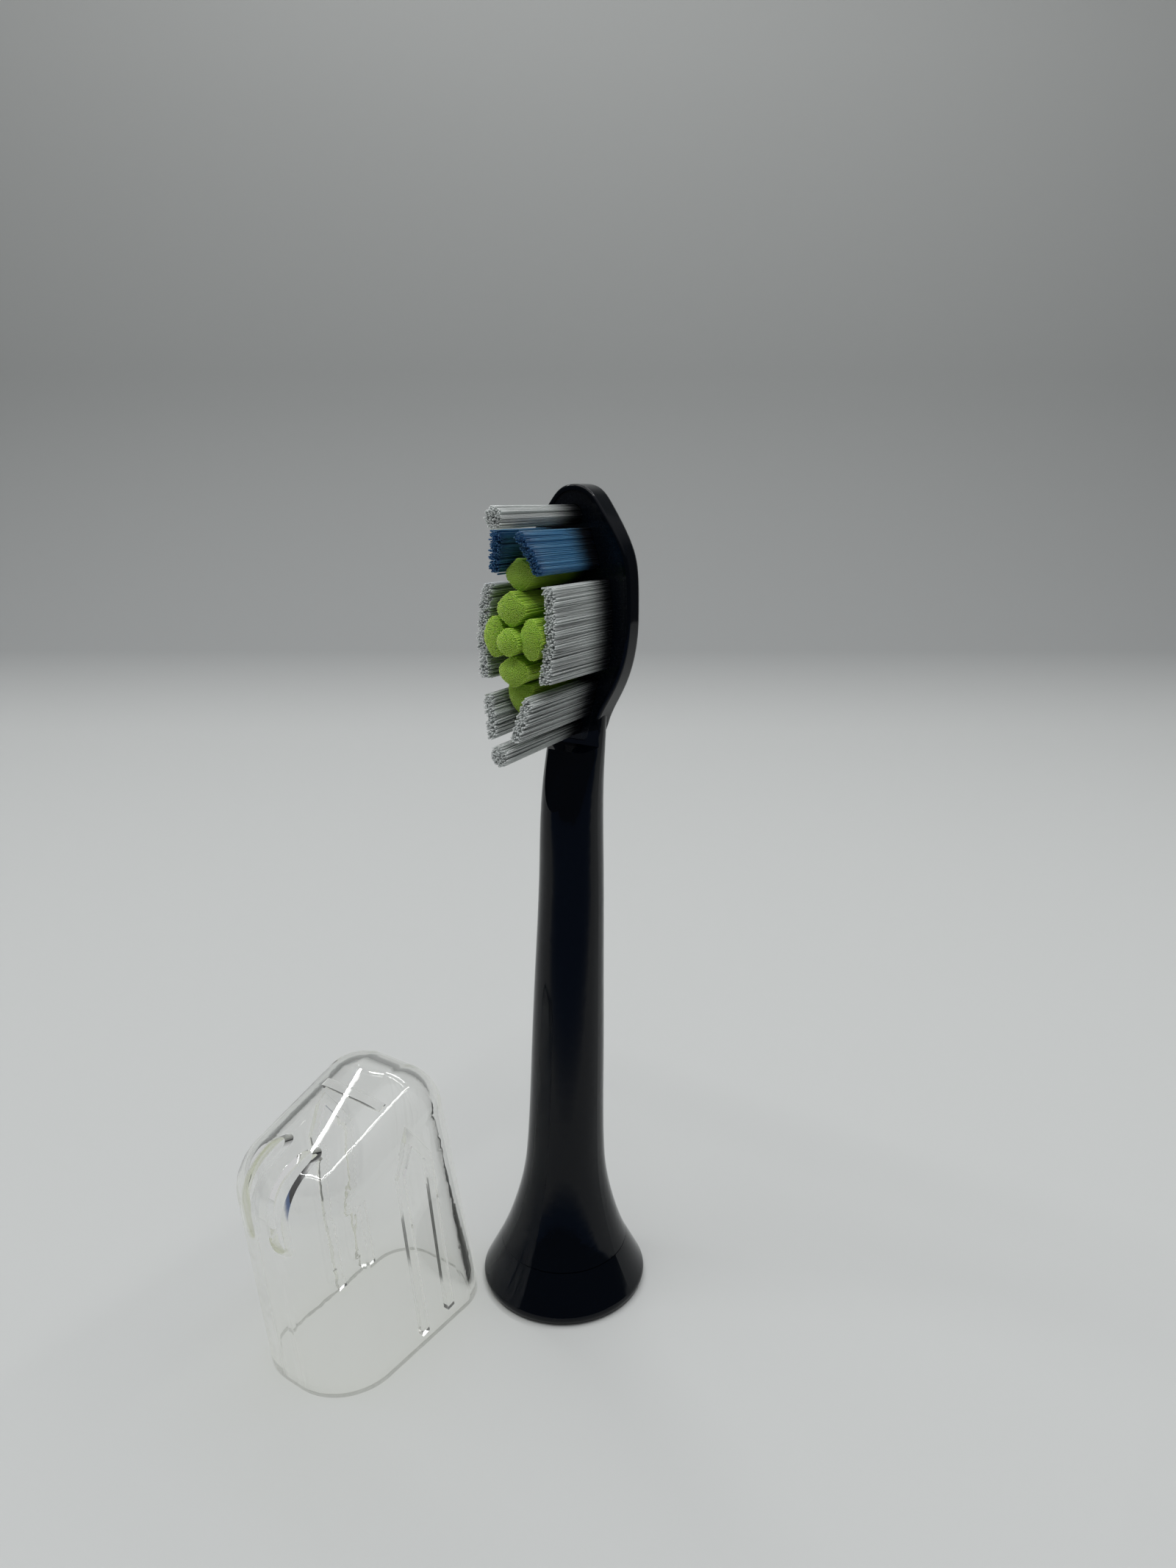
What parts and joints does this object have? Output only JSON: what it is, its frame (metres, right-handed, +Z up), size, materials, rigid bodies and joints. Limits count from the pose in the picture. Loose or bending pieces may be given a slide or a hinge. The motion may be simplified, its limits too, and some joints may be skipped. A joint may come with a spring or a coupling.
{
  "type": "electric toothbrush head",
  "caption": "Push-on sonic toothbrush head: slim leaning neck on a flared base with a drive socket, oval platen of shaped bristle tufts, and a clear travel cap standing beside it.",
  "frame": {"origin": "centre of the round recess in the base face, on the table", "axes": "+Z up the stem from the base face, -Y the way the bristles point, +X to the right of the bristle side as it is looked at from the back"},
  "size_m": [0.026, 0.0361, 0.078],
  "materials": {
    "black_gloss_plastic": "gloss",
    "black_plate_plastic": "satin",
    "fused_nylon": "satin",
    "grey_acetal": "satin",
    "spring_steel": "brushed",
    "tag_film": "satin",
    "clear_plastic": "clear gloss",
    "white_nylon": "soft",
    "blue_nylon": "soft",
    "green_nylon": "soft"
  },
  "bodies": {
    "root": {"neck_body": "black_gloss_plastic", "base_ring": "black_gloss_plastic", "bristle_plate": "black_plate_plastic", "tuft_melt_layer": "fused_nylon", "drive_socket": "grey_acetal", "retaining_spring": "spring_steel", "id_tag": "tag_film", "travel_cap": "clear_plastic", "tuft_top_white": "white_nylon", "tuft_side_left": "white_nylon", "tuft_side_right": "white_nylon", "tuft_lower_left": "white_nylon", "tuft_lower_right": "white_nylon", "tuft_bottom_white": "white_nylon", "tuft_blue_left": "blue_nylon", "tuft_blue_right": "blue_nylon", "tuft_green_upper": "green_nylon", "tuft_green_top": "green_nylon", "tuft_green_left": "green_nylon", "tuft_green_centre": "green_nylon", "tuft_green_right": "green_nylon", "tuft_green_bottom": "green_nylon", "tuft_green_lower": "green_nylon"}
  },
  "joints": []
}
